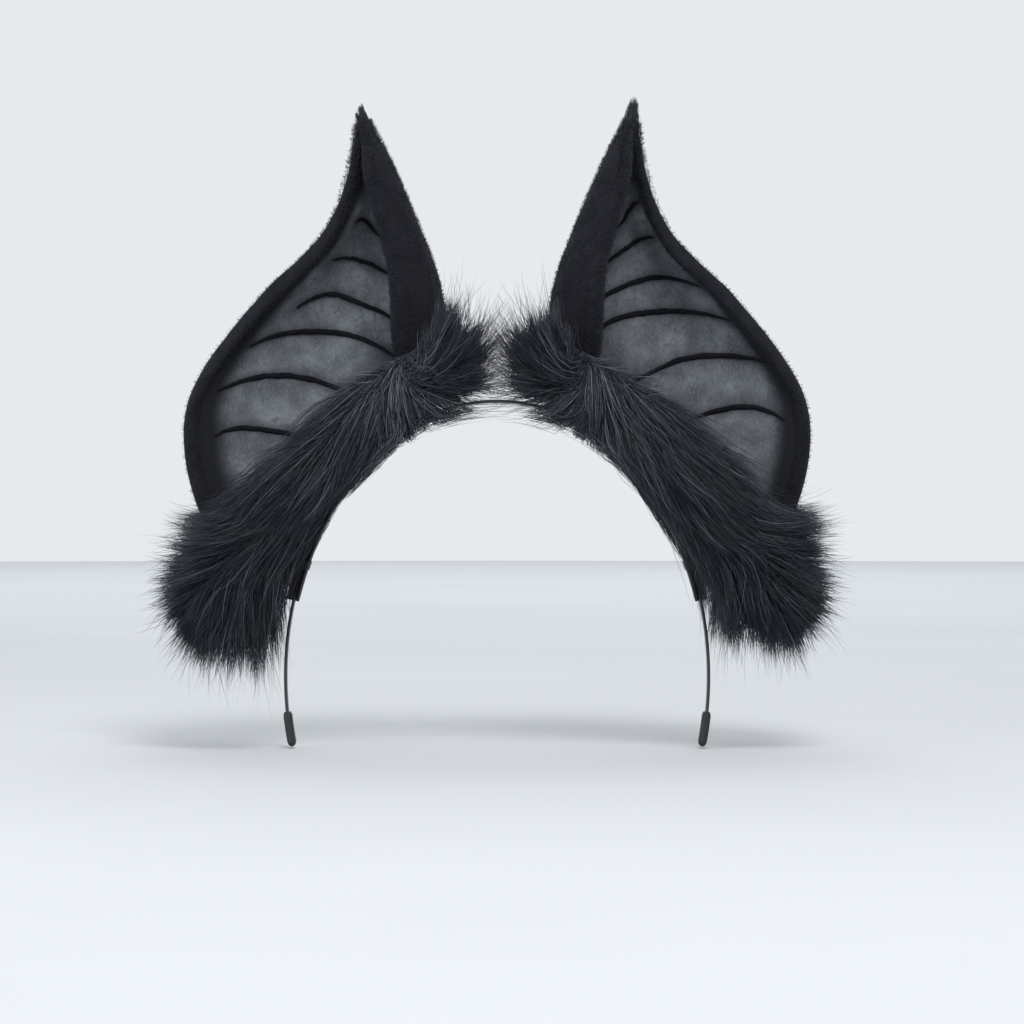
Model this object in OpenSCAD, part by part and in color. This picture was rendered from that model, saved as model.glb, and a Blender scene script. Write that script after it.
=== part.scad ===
// Animal ears headband: two cupped, pointed fabric ears with long-pile fur cuffs on a thin sprung band.
// Millimetres, +Z up, the front faces -Y, +X is the wearer's left. Origin: underside of the band at the crown.

/* [Band] */
// Half width of the band's inner arch
band_half = 86; // [80:0.5:90]
// Rise of the inner arch above its widest line
band_rise = 112; // [106:0.5:118]
// Width of the steel strip, front to back
band_w = 5; // [4:0.5:7]
// Thickness of the lacquered strip
band_t = 1.4; // [1.2:0.1:1.6]
// How far each arm runs on below the widest line, as an angle of the arch
band_tail = 13.5; // [8:0.5:16]
// Half length of the crown piece between the two spring points
crown_half = 14; // [12:0.5:16]
// Wall of the soft tip cap on each arm
cap_wall = 1.1; // [0.8:0.1:1.4]
// Length of each tip cap, as an angle of the arch
cap_len = 6; // [4:0.5:8]

/* [Felt base] */
// Width of the felt pads under each ear
pad_w = 14; // [10:0.5:14.5]
// Thickness of the felt pad on top of the band
pad_t = 2.4; // [1.6:0.1:2.6]
// Thickness of the felt pad under the band
under_t = 1.4; // [1:0.1:2]
// Thickness of the thread lashings
thread_t = 0.7; // [0.5:0.05:0.8]
// Thickness of the felt base where the ear's edge is set into it
base_t = 1.9; // [1.5:0.1:2.2]

/* [Ears] */
// Height of the fabric tip above the crown
ear_height = 118; // [108:1:128]
// Distance from the centre plane to the widest outer edge
ear_reach = 127.5; // [120:0.5:133]
// Depth of the ear's cup
cup_depth = 20; // [15:0.5:22]
// Thickness of the plush outer
cover_t = 1.8; // [1.2:0.1:2]
// Thickness of the foam core
core_t = 2.0; // [1.8:0.1:2.4]
// Thickness of the felt lining
lining_t = 1.0; // [0.8:0.1:1.2]
// Width of the turned hem round the rim
hem_w = 6; // [5:0.5:7]
// Radius of the shaping wire
wire_r = 0.65; // [0.4:0.05:0.7]
// Width of the widest rib
rib_w = 2.4; // [1.6:0.1:3]
// Height of a rib above the lining
rib_h = 1.0; // [0.6:0.1:1.4]

/* [Fur] */
// Scale of the fur cuffs' girth
cuff_girth = 1; // [0.85:0.01:1.04]
// Length of the hair tuft on each tip
tuft_len = 10; // [6:0.5:14]

/* [Show] */
// Name of the piece to build, or all

/* [Hidden] */

steel = "#101114";
rubber = "#1b1b1e";
plush = "#16161b";
felt_grey = "#4c5056";
felt_black = "#141417";
foam_grey = "#6a6a6c";
wire_steel = "#8b8d92";
thread_black = "#0d0d10";
fur_black = "#17181f";

// ---- spline helpers
function cr(a, b, c, d, u) = 0.5 * (2 * b + (c - a) * u + (2 * a - 5 * b + 4 * c - d) * u * u
  + (3 * b - a - 3 * c + d) * u * u * u);
function spl(P, s) = let(n = len(P) - 1, i = max(0, min(floor(s), n - 1)), b = P[i], c = P[i + 1],
  a = i > 0 ? P[i - 1] : 2 * b - c, d = i + 2 <= n ? P[i + 2] : 2 * c - b) cr(a, b, c, d, s - i);
function surf(G, s, t) = let(n = len(G) - 1, i = max(0, min(floor(t), n - 1)),
  b = spl(G[i], s), c = spl(G[i + 1], s),
  a = i > 0 ? spl(G[i - 1], s) : 2 * b - c,
  d = i + 2 <= n ? spl(G[i + 2], s) : 2 * c - b) cr(a, b, c, d, t - i);
function unit(v) = v / norm(v);
e = 0.01;
function facing(G, s, t) = unit(cross(surf(G, s + e, t) - surf(G, s - e, t),
  surf(G, s, t + e) - surf(G, s, t - e)));

// ---- the band's arch
function arch(a, off) = let(n = unit([cos(a) / band_half, sin(a) / band_rise]))
  [band_half * cos(a) + off * n[0], band_rise * (sin(a) - 1) + off * n[1]];
crown_a = acos(crown_half / band_half);
arm_a = acos((crown_half + 0.28) / band_half);
function strip(a0, a1, lo, hi, n) = concat(
  [for (i = [0:n]) arch(a0 + (a1 - a0) * i / n, hi)],
  [for (i = [n:-1:0]) arch(a0 + (a1 - a0) * i / n, lo)]);
module slab(w) {
  rotate([90, 0, 0])
    linear_extrude(height = w, center = true)
      children();
}

module band_crown() {
  color(steel) slab(band_w) polygon(strip(crown_a, 180 - crown_a, 0, band_t, 16));
}
module band_arm() {
  color(steel) slab(band_w) polygon(strip(-band_tail, arm_a, 0, band_t, 48));
}
module tip_cap() {
  a0 = -band_tail - 0.6;
  a1 = -band_tail + cap_len;
  end = arch(a0, band_t / 2);
  color(rubber)
    difference() {
      union() {
        slab(band_w + 2 * cap_wall) polygon(strip(a0, a1, -cap_wall, band_t + cap_wall, 8));
        translate([end[0], 0, end[1]])
          rotate([90, 0, 0])
            cylinder(r = band_t / 2 + cap_wall, h = band_w + 2 * cap_wall, center = true, $fn = 48);
      }
      slab(band_w + 0.08) polygon(strip(-band_tail - 0.05, a1 + 1, -0.04, band_t + 0.04, 8));
    }
}

// ---- felt sandwich round the band
pad_lo = 16;
pad_hi = 72;
module base_pad() {
  color(felt_black) slab(pad_w) polygon(strip(pad_lo, pad_hi, band_t + 0.04, band_t + pad_t, 30));
}
module under_pad() {
  color(felt_black) slab(pad_w) polygon(strip(pad_lo, pad_hi, -under_t, -0.04, 30));
}
module lashing(a) {
  color(thread_black)
    difference() {
      slab(pad_w + 2 * thread_t + 0.1)
        polygon(strip(a - 1, a + 1, -under_t - thread_t - 0.04, band_t + pad_t + thread_t + 0.04, 2));
      slab(pad_w + 0.1)
        polygon(strip(a - 2, a + 2, -under_t - 0.04, band_t + pad_t + 0.04, 4));
    }
}

// ---- the ear's mid surface: rows from base to tip, each with
// inner silhouette, free inner edge, outer edge (x, z), then y of each and the row's bow
kz = ear_height / 118;
kw = (ear_reach - 25) / 102.5;
kd = cup_depth / 20;
ROWS = [
  [[30.1, 0.6], [36, -3], [89, -77.7], 8, 0, 12, 7, 11.5],
  [[25.6, 11], [39, 9.5], [112, -60], 11, 1, 15.5, 8, 8],
  [[24.6, 25], [42.4, 24.5], [124, -36], 13, 2, 18.5, 8, 5],
  [[25.2, 40], [43, 39.5], [127.5, -9], 14, 3, 20, 6, 3],
  [[28.3, 54], [44.2, 54], [120, 12], 13, 3, 20, 4, 2],
  [[33.5, 68.5], [47.4, 67.5], [98, 40], 11, 3.5, 18, 2, 1],
  [[39.6, 84], [51.2, 80.5], [73.5, 64], 8.5, 4, 14.5, 0.5, 0.5],
  [[46.2, 99], [54.8, 94], [62.2, 88], 5, 4, 10, -1, 0],
  [[55, 118], [55.9, 118], [56.9, 118], -3.6, 4, 4.4, -3.6, 0]
];
function up(p) = [p[0], p[1] > 0 ? p[1] * kz : p[1]];
function out(a, b, r) = r < 2 ? b : [a[0] + (b[0] - a[0]) * kw, b[1]];
function row(r) = let(R = ROWS[r], A = up(R[0]), E = up(R[1]), B = out(A, up(R[2]), r),
  fe = R[3], ya = R[4], D = r == 0 ? R[5] : R[5] * kd, fb = R[6],
  w = unit(B - A), m = [-w[1], w[0]],
  at = function (f) A + f * (B - A) + m * R[7] * 4 * f * (1 - f),
  K = A + 0.22 * (E - A), p3 = at(0.14), p4 = at(0.42), p5 = at(0.73)) [
  [E[0], -fe, E[1]], [K[0], -0.62 * fe + 0.1 * ya, K[1]], [A[0], ya, A[1]],
  [p3[0], ya + (D - ya) * 0.72, p3[1]], [p4[0], D, p4[1]],
  [p5[0], -fb + (D + fb) * 0.6, p5[1]], [B[0], -fb, B[1]]];
G = [for (r = [0:8]) row(r)];
L0 = [for (r = [0:8]) norm(G[r][1] - G[r][0])];
L1 = [for (r = [0:8]) norm(G[r][6] - G[r][5])];
function lin(T, t) = let(i = max(0, min(floor(t), len(T) - 2))) T[i] + (T[i + 1] - T[i]) * (t - i);
function h0(t, w) = min(w / lin(L0, t), 1);
function h1(t, w) = min(w / lin(L1, t), 1.2);
function d0(t) = min(4.5 / lin(L0, t), 0.7);
function d1(t) = min(4.5 / lin(L1, t), 0.7);

// columns across the ear: 0 and NC on the rim, 1 and NC-1 where the hem ends,
// 2 and NC-2 where the core ends, the rest evenly between
NC = 20;
NR = 22;
T_TOP = 7.3;
T_END = 7.7;
function col(c, t, g) = let(a = h0(t, hem_w - g), b = 6 - h1(t, hem_w - g), p = a + d0(t), q = b - d1(t))
  c == 0 ? 0 : c == 1 ? a : c == NC - 1 ? b : c == NC ? 6 : p + (q - p) * (c - 2) / (NC - 4);
function skin(c, t, g, off) = let(s = col(c, t, g)) surf(G, s, t) + off * facing(G, s, t);

// a closed sheet over columns c0..c1 and the rows' heights ts, between offsets lo (back) and hi (front)
module sheet(c0, c1, ts, lo, hi) {
  n = c1 - c0 + 1;
  m = len(ts);
  F = [for (t = ts) for (c = [c0:c1]) skin(c, t, 0, hi)];
  B = [for (t = ts) for (c = [c0:c1]) skin(c, t, 0, lo)];
  k = n * m;
  faces = concat(
    [for (r = [0:m - 2]) for (c = [0:n - 2]) for (q = [0:1])
      q == 0 ? [r * n + c, r * n + n + c, r * n + c + 1] : [r * n + c + 1, r * n + n + c, r * n + n + c + 1]],
    [for (r = [0:m - 2]) for (c = [0:n - 2]) for (q = [0:1])
      q == 0 ? [k + r * n + c, k + r * n + c + 1, k + r * n + n + c]
        : [k + r * n + c + 1, k + r * n + n + c + 1, k + r * n + n + c]],
    [for (r = [0:m - 2]) for (q = [0:1])
      q == 0 ? [r * n, k + r * n, k + r * n + n] : [r * n, k + r * n + n, r * n + n]],
    [for (r = [0:m - 2]) let(o = n - 1) for (q = [0:1])
      q == 0 ? [r * n + o, r * n + n + o, k + r * n + n + o] : [r * n + o, k + r * n + n + o, k + r * n + o]],
    [for (c = [0:n - 2]) for (q = [0:1])
      q == 0 ? [c, c + 1, k + c + 1] : [c, k + c + 1, k + c]],
    [for (c = [0:n - 2]) let(o = (m - 1) * n) for (q = [0:1])
      q == 0 ? [o + c, k + o + c, k + o + c + 1] : [o + c, k + o + c + 1, o + c + 1]]);
  polyhedron(points = concat(F, B), faces = faces, convexity = 8);
}
gap = 0.05;
mid = core_t / 2 + gap;
ROWS_IN = [for (i = [0:NR]) T_TOP * i / NR];
ROWS_CORE = [for (i = [0:NR - 2]) T_TOP * i / NR];
module ear_cover() {
  color(plush) sheet(1, NC - 1, ROWS_IN, -mid - cover_t, -mid);
}
module ear_lining() {
  color(felt_grey) sheet(1, NC - 1, ROWS_IN, mid, mid + lining_t);
}
module ear_core() {
  color(foam_grey) sheet(2, NC - 2, ROWS_CORE, -core_t / 2, core_t / 2);
}

// the hem: an upside-down U of cells round the rim, closed over the tip
HT = concat([for (i = [0:NR]) T_TOP * i / NR + (i == NR ? 0.06 : 0)], [7.5, T_END]);
function in_hem(r, c) = r >= 0 && r < len(HT) - 1 && c >= 0 && c < NC && (c == 0 || c == NC - 1 || r >= NR);
module ear_hem() {
  n = NC + 1;
  m = len(HT);
  k = n * m;
  hi = mid + lining_t + 0.55;
  lo = -mid - cover_t - 0.35;
  F = [for (t = HT) for (c = [0:NC]) skin(c, t, 0.3, hi)];
  B = [for (t = HT) for (c = [0:NC]) skin(c, t, 0.3, lo)];
  cells = [for (r = [0:m - 2]) for (c = [0:NC - 1]) if (in_hem(r, c)) [r, c]];
  faces = concat(
    [for (x = cells) let(i = x[0] * n + x[1]) for (q = [0:1])
      q == 0 ? [i, i + n, i + 1] : [i + 1, i + n, i + n + 1]],
    [for (x = cells) let(i = k + x[0] * n + x[1]) for (q = [0:1])
      q == 0 ? [i, i + 1, i + n] : [i + 1, i + n + 1, i + n]],
    [for (x = cells) if (!in_hem(x[0], x[1] - 1)) let(i = x[0] * n + x[1]) for (q = [0:1])
      q == 0 ? [i, k + i, k + i + n] : [i, k + i + n, i + n]],
    [for (x = cells) if (!in_hem(x[0], x[1] + 1)) let(i = x[0] * n + x[1] + 1) for (q = [0:1])
      q == 0 ? [i, i + n, k + i + n] : [i, k + i + n, k + i]],
    [for (x = cells) if (!in_hem(x[0] - 1, x[1])) let(i = x[0] * n + x[1]) for (q = [0:1])
      q == 0 ? [i, i + 1, k + i + 1] : [i, k + i + 1, k + i]],
    [for (x = cells) if (!in_hem(x[0] + 1, x[1])) let(i = (x[0] + 1) * n + x[1]) for (q = [0:1])
      q == 0 ? [i, k + i, k + i + 1] : [i, k + i + 1, i + 1]]);
  color(plush) polyhedron(points = concat(F, B), faces = faces, convexity = 8);
}

// a closed tube of rings: each ring is a list of the same number of points
module tube(rings) {
  n = len(rings[0]);
  m = len(rings);
  pts = [for (r = rings) for (p = r) p];
  faces = concat([[for (i = [n - 1:-1:0]) i]], [[for (i = [0:n - 1]) (m - 1) * n + i]],
    [for (r = [0:m - 2]) for (i = [0:n - 1]) let(j = (i + 1) % n) for (q = [0:1])
      q == 0 ? [r * n + i, r * n + j, r * n + n + j] : [r * n + i, r * n + n + j, r * n + n + i]]);
  polyhedron(points = pts, faces = faces, convexity = 6);
}
function ring(c, u, v, a, b, n) = [for (i = [0:n - 1]) c + u * a * cos(360 * i / n) + v * b * sin(360 * i / n)];

// the shaping wire: up inside the inner rim, over below the tip, down inside the outer rim
WT = [for (i = [1:NR - 2]) T_TOP * i / NR - (i == 1 ? 0.25 : 0)];
function between(c, t) = (skin(c, t, 0, 0) + skin(c + 1, t, 0, 0)) / 2;
module ear_wire() {
  top = T_TOP * (NR - 1) / NR;
  path = concat([for (t = WT) between(1, t)],
    [for (c = [2:NC - 2]) skin(c, top, 0, 0)],
    [for (i = [len(WT) - 1:-1:0]) between(NC - 2, WT[i])]);
  n = len(path);
  color(wire_steel)
    tube([for (i = [0:n - 1]) let(d = unit(path[min(i + 1, n - 1)] - path[max(i - 1, 0)]),
      u = unit(cross(d, [0, 1, 0.02])), v = cross(u, d)) ring(path[i], u, v, wire_r, wire_r, 6)]);
}

// ribs: three points each in the ear's own (across, up) coordinates
LEFT_RIBS = [
  [[3.35, 5.55], [4.45, 6.43], [5.15, 6.68]], [[2.95, 4.4], [3.95, 5.5], [5.25, 6.05]],
  [[2.85, 3.2], [3.85, 4.65], [5.45, 5.2]], [[2.85, 2.2], [3.83, 3.9], [5.5, 4.65]],
  [[3.6, 1.95], [4.58, 3.4], [5.66, 4.05]], [[4.25, 1.6], [4.95, 2.6], [5.66, 2.85]]];
RIGHT_RIBS = [
  [[2.85, 4.95], [4.02, 5.98], [4.7, 6.2]], [[2.85, 4.0], [3.73, 5.0], [4.8, 5.5]],
  [[2.85, 2.6], [3.9, 4.3], [4.85, 4.6]], [[3.05, 2.05], [4.2, 3.7], [5.4, 4.2]],
  [[3.6, 1.5], [4.55, 2.9], [5.6, 3.4]], [[4.2, 1.1], [4.95, 2.2], [5.6, 2.55]]];
RIB_SIZE = [0.62, 0.75, 0.9, 1, 1, 0.95];
function three(P, u) = P[0] * (2 * u - 1) * (u - 1) + P[1] * 4 * u * (1 - u) + P[2] * u * (2 * u - 1);
module rib(P, k) {
  lift = mid + lining_t + 0.32;
  color(felt_black)
    tube([for (i = [0:13]) let(u = i / 13, q = three(P, u), a = three(P, u - 0.01), b = three(P, u + 0.01),
      f = facing(G, q[0], q[1]), d = unit(surf(G, b[0], b[1]) - surf(G, a[0], a[1])), x = unit(cross(f, d)),
      o = surf(G, q[0], q[1]) + f * lift,
      w = rib_w / 2 * RIB_SIZE[k] * (0.25 + 0.75 * pow(sin(180 * (0.06 + 0.88 * u)), 0.7)),
      h = rib_h * (0.35 + 0.65 * sin(180 * (0.06 + 0.88 * u))))
      [o - x * w, o - x * 0.7 * w + f * 0.75 * h, o + f * h, o + x * 0.7 * w + f * 0.75 * h, o + x * w]]);
}

// fur cuffs: x, z of the centre line, half width across it, y of the centre, half depth
FRONT = [
  [11, 13, 3, -17, 3], [14, 14, 9, -18, 9], [22, 14, 12.5, -27, 8.5], [36, 7, 15, -28.5, 9.5],
  [50, -3.5, 16, -27.5, 10.5], [65, -17, 16, -25, 13], [80, -33, 16.5, -25, 13], [94, -51, 18, -25.5, 12],
  [107, -67, 19.5, -23, 11.5], [118, -79, 14, -20, 8.5], [124, -86, 4, -18, 3]];
BACK = [
  [11, 13, 3, 12, 3], [13.5, 14, 9, 14, 8], [20, 14, 12, 21, 8.5], [36, 9, 15, 31, 8.5],
  [50, -2, 16, 33, 9], [65, -16, 16, 33, 9], [80, -32, 16.5, 30.5, 10.5], [95, -50, 18, 25.5, 12],
  [109, -65, 19.5, 18.5, 11], [121, -76, 15, 13, 9], [129, -83, 4, 10, 3]];
module cuff(P, g = 0) {
  m = 20;
  color(fur_black)
    tube([for (i = [0:m]) let(s = (len(P) - 1) * i / m, p = spl(P, s), a = spl(P, max(s - 0.05, 0)),
      b = spl(P, min(s + 0.05, len(P) - 1)), d = unit([b[0] - a[0], 0, b[1] - a[1]]), x = [-d[2], 0, d[0]])
      ring([p[0], p[3], p[1]], x, [0, 1, 0], p[2] * cuff_girth + g, p[4] + g, 14)]);
}

// ---- the felt base that an ear and its two cuffs are set into. It rises to either side of the seam,
// clear of the pad and lashings, so that the ear can tilt about the seam
seat = band_t + pad_t + thread_t + 0.25;
rise = 0.148;
base_lo = 19;
base_hi = 65;
BASE = let(w = seat + 9.2 * rise) [
  [-24, 3], [-9.9, 3], [-9.2, w], [0, seat], [9.2, w], [9.9, 3], [27, 3],
  [27, 5.6], [11.5, 5.6], [9.5, w + base_t], [-9.5, w + base_t], [-11.5, 5.6], [-24, 5.6]];
module ear_slot() {
  n = NC + 1;
  T = [-0.04, 0, ROWS_IN[1], ROWS_IN[2]];
  m = len(T);
  k = n * m;
  function s_at(c, t) = c == 0 ? -0.04 : c == NC ? 6.04 : col(c, t, 0);
  function at_rim(c) = c < 2 || c > NC - 2;
  function pt(c, t, o) = let(s = s_at(c, t)) surf(G, s, t) + o * facing(G, s, t);
  F = [for (t = T) for (c = [0:NC]) pt(c, t, mid + lining_t + (at_rim(c) ? 0.67 : 0.12))];
  B = [for (t = T) for (c = [0:NC]) pt(c, t, -mid - cover_t - (at_rim(c) ? 0.47 : 0.12))];
  faces = concat(
    [for (r = [0:m - 2]) for (c = [0:n - 2]) for (q = [0:1]) let(i = r * n + c)
      q == 0 ? [i, i + n, i + 1] : [i + 1, i + n, i + n + 1]],
    [for (r = [0:m - 2]) for (c = [0:n - 2]) for (q = [0:1]) let(i = k + r * n + c)
      q == 0 ? [i, i + 1, i + n] : [i + 1, i + n + 1, i + n]],
    [for (r = [0:m - 2]) let(i = r * n) for (q = [0:1])
      q == 0 ? [i, k + i, k + i + n] : [i, k + i + n, i + n]],
    [for (r = [0:m - 2]) let(i = r * n + n - 1) for (q = [0:1])
      q == 0 ? [i, i + n, k + i + n] : [i, k + i + n, k + i]],
    [for (c = [0:n - 2]) for (q = [0:1]) q == 0 ? [c, c + 1, k + c + 1] : [c, k + c + 1, k + c]],
    [for (c = [0:n - 2]) let(i = (m - 1) * n + c) for (q = [0:1])
      q == 0 ? [i, k + i, k + i + 1] : [i, k + i + 1, i + 1]]);
  polyhedron(points = concat(F, B), faces = faces, convexity = 8);
}
module ear_base() {
  m = 23;
  color(felt_black)
    resize([0, 0, 0]) // the same size: the grooved base is kept as one flat-faced shell
      difference() {
      tube([for (i = [0:m]) let(a = base_lo + (base_hi - base_lo) * i / m)
        [for (p = BASE) let(q = arch(a, p[1])) [q[0], p[0], q[1]]]]);
      ear_slot();
      cuff(FRONT, 0.12);
      cuff(BACK, 0.12);
    }
}
module base_seam() {
  color(thread_black) slab(1) polygon(strip(28, 56, band_t + pad_t + 0.04, seat - 0.15, 14));
}
module tip_tuft() {
  root = 5.1; // how far the tuft reaches down to the edge binding
  z0 = ear_height - root;
  color(fur_black)
    tube([for (i = [0:5]) let(u = i / 5) ring([54.4 + 1.8 * u, 4.4, z0 + (tuft_len + root) * u],
      [1, 0, 0], [0, -1, 0], 3.4 - 3 * u, 2.8 - 2.4 * u, 10)]);
}
module other_side() {
  mirror([1, 0, 0]) children();
}

module left_band_arm() { band_arm(); }
module right_band_arm() { other_side() band_arm(); }
module left_tip_cap() { tip_cap(); }
module right_tip_cap() { other_side() tip_cap(); }
module left_base_pad() { base_pad(); }
module right_base_pad() { other_side() base_pad(); }
module left_under_pad() { under_pad(); }
module right_under_pad() { other_side() under_pad(); }
module left_thread_inner() { lashing(60); }
module right_thread_inner() { other_side() lashing(60); }
module left_thread_outer() { lashing(24); }
module right_thread_outer() { other_side() lashing(24); }
module left_base_seam() { base_seam(); }
module right_base_seam() { other_side() base_seam(); }
module left_ear_base() { ear_base(); }
module right_ear_base() { other_side() ear_base(); }
module left_ear_cover() { ear_cover(); }
module right_ear_cover() { other_side() ear_cover(); }
module left_ear_core() { ear_core(); }
module right_ear_core() { other_side() ear_core(); }
module left_ear_lining() { ear_lining(); }
module right_ear_lining() { other_side() ear_lining(); }
module left_ear_hem() { ear_hem(); }
module right_ear_hem() { other_side() ear_hem(); }
module left_ear_wire() { ear_wire(); }
module right_ear_wire() { other_side() ear_wire(); }
module left_rib_1() { rib(LEFT_RIBS[0], 0); }
module left_rib_2() { rib(LEFT_RIBS[1], 1); }
module left_rib_3() { rib(LEFT_RIBS[2], 2); }
module left_rib_4() { rib(LEFT_RIBS[3], 3); }
module left_rib_5() { rib(LEFT_RIBS[4], 4); }
module left_rib_6() { rib(LEFT_RIBS[5], 5); }
module right_rib_1() { other_side() rib(RIGHT_RIBS[0], 0); }
module right_rib_2() { other_side() rib(RIGHT_RIBS[1], 1); }
module right_rib_3() { other_side() rib(RIGHT_RIBS[2], 2); }
module right_rib_4() { other_side() rib(RIGHT_RIBS[3], 3); }
module right_rib_5() { other_side() rib(RIGHT_RIBS[4], 4); }
module right_rib_6() { other_side() rib(RIGHT_RIBS[5], 5); }
module left_fur_front() { cuff(FRONT); }
module right_fur_front() { other_side() cuff(FRONT); }
module left_fur_back() { cuff(BACK); }
module right_fur_back() { other_side() cuff(BACK); }
module left_tip_tuft() { tip_tuft(); }
module right_tip_tuft() { other_side() tip_tuft(); }

band_crown();
left_band_arm();
right_band_arm();
left_tip_cap();
right_tip_cap();
left_base_pad();
right_base_pad();
left_under_pad();
right_under_pad();
left_thread_inner();
right_thread_inner();
left_thread_outer();
right_thread_outer();
left_base_seam();
right_base_seam();
left_ear_base();
right_ear_base();
left_ear_cover();
right_ear_cover();
left_ear_core();
right_ear_core();
left_ear_lining();
right_ear_lining();
left_ear_hem();
right_ear_hem();
left_ear_wire();
right_ear_wire();
left_rib_1();
left_rib_2();
left_rib_3();
left_rib_4();
left_rib_5();
left_rib_6();
right_rib_1();
right_rib_2();
right_rib_3();
right_rib_4();
right_rib_5();
right_rib_6();
left_fur_front();
right_fur_front();
left_fur_back();
right_fur_back();
left_tip_tuft();
right_tip_tuft();
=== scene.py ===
"""Animal ears headband: cupped plush ears with felt linings, ribs and long fur cuffs on a sprung band."""

import math

import bpy
import numpy as np
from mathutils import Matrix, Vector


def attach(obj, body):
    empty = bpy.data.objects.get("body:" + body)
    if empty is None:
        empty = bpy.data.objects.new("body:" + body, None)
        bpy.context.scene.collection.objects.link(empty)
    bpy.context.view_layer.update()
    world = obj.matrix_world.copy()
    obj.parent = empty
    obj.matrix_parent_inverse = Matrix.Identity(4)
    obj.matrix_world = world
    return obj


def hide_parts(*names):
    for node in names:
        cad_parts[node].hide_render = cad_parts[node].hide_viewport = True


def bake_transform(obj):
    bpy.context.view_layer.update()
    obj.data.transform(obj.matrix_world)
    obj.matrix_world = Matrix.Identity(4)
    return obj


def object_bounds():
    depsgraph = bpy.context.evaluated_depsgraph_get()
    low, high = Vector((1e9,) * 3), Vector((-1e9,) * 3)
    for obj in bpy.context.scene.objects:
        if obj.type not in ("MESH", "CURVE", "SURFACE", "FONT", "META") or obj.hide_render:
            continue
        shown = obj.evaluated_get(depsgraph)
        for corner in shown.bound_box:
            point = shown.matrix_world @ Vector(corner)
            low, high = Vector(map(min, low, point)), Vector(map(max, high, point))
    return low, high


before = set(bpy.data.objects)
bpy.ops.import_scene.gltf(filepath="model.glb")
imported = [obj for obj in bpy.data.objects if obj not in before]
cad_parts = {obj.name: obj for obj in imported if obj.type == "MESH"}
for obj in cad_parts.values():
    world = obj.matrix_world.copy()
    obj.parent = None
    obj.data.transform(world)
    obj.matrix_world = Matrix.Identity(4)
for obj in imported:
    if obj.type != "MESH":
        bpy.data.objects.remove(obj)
cad_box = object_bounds()
MM = 0.001

# ---------------------------------------------------------------- camera, light, floor
scene = bpy.context.scene
cam = bpy.data.objects.new("camera", bpy.data.cameras.new("camera"))
scene.collection.objects.link(cam)
cam.data.sensor_width = 36
cam.data.lens = 111.4
cam.data.clip_end = 20
cam.location = (0.0061, -1.3, -0.0447)
cam.rotation_euler = (math.radians(90), 0, 0)
scene.camera = cam
scene.view_settings.view_transform = "Standard"
scene.view_settings.look = "None"


def area_light(name, where, aim, size, power, colour):
    data = bpy.data.lights.new(name, "AREA")
    data.shape = "DISK"
    data.size = size
    data.energy = power
    data.color = colour
    ob = bpy.data.objects.new(name, data)
    ob.location = where
    d = np.array(aim, float) - np.array(where, float)
    ob.rotation_euler = (math.atan2(math.hypot(d[0], d[1]), -d[2]), 0, math.atan2(d[1], d[0]) - math.pi / 2)
    scene.collection.objects.link(ob)


area_light("key", (0.25, -1.15, 1.25), (0, 0, 0), 0.7, 21, (1.0, 0.99, 0.97))
area_light("fill", (-1.1, -0.9, 0.25), (0, 0, -0.02), 0.9, 7, (0.93, 0.96, 1.0))
area_light("back", (0.0, 3.0, 2.2), (0, 3.0, -0.14), 4.0, 62, (0.96, 0.98, 1.0))

world = bpy.data.worlds.new("studio")
scene.world = world
world.use_nodes = True
world.node_tree.nodes["Background"].inputs["Color"].default_value = (0.80, 0.825, 0.85, 1)
world.node_tree.nodes["Background"].inputs["Strength"].default_value = 1.0


# ---------------------------------------------------------------- mesh helpers
def make(name, co, faces, mats, index=None, smooth=True, floats=None):
    """A mesh object from points in millimetres and arrays of faces."""
    co = np.asarray(co, float)
    faces = [np.asarray(f, int) for f in faces if len(f)]
    me = bpy.data.meshes.new(name)
    me.vertices.add(len(co))
    me.vertices.foreach_set("co", (co * MM).ravel())
    loops = np.concatenate([f.ravel() for f in faces])
    sizes = np.concatenate([np.full(len(f), f.shape[1]) for f in faces])
    me.loops.add(len(loops))
    me.loops.foreach_set("vertex_index", loops)
    me.polygons.add(len(sizes))
    me.polygons.foreach_set("loop_start", np.concatenate([[0], np.cumsum(sizes)[:-1]]))
    me.polygons.foreach_set("use_smooth", np.full(len(sizes), smooth))
    for m in mats:
        me.materials.append(m)
    if index is not None:
        me.polygons.foreach_set("material_index", index)
    for key, values in (floats or {}).items():
        me.attributes.new(key, "FLOAT", "POINT").data.foreach_set("value", np.asarray(values, np.float32))
    me.update(calc_edges=True)
    ob = bpy.data.objects.new(name, me)
    scene.collection.objects.link(ob)
    return ob


def mirrored(co, faces, side):
    if side == "left":
        return co, faces
    return co * np.array([-1.0, 1, 1]), [f[:, ::-1] for f in faces]


def quads(nr, nc, start=0, flip=False):
    r, c = np.meshgrid(np.arange(nr - 1), np.arange(nc - 1), indexing="ij")
    i = (start + r * nc + c).ravel()
    q = np.stack([i, i + 1, i + nc + 1, i + nc], 1)
    return q[:, ::-1] if flip else q


def shell(front, back):
    """A closed sheet from two grids of points (rows, columns, 3)."""
    nr, nc, _ = front.shape
    k = nr * nc
    co = np.concatenate([front.reshape(-1, 3), back.reshape(-1, 3)])
    g = np.arange(k).reshape(nr, nc)
    rim = np.concatenate([g[0, :-1], g[:-1, -1], g[-1, :0:-1], g[:0:-1, 0]])
    nxt = np.roll(rim, -1)
    side = np.stack([rim, rim + k, nxt + k, nxt], 1)
    return co, [quads(nr, nc), quads(nr, nc, k, True), side]


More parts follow.
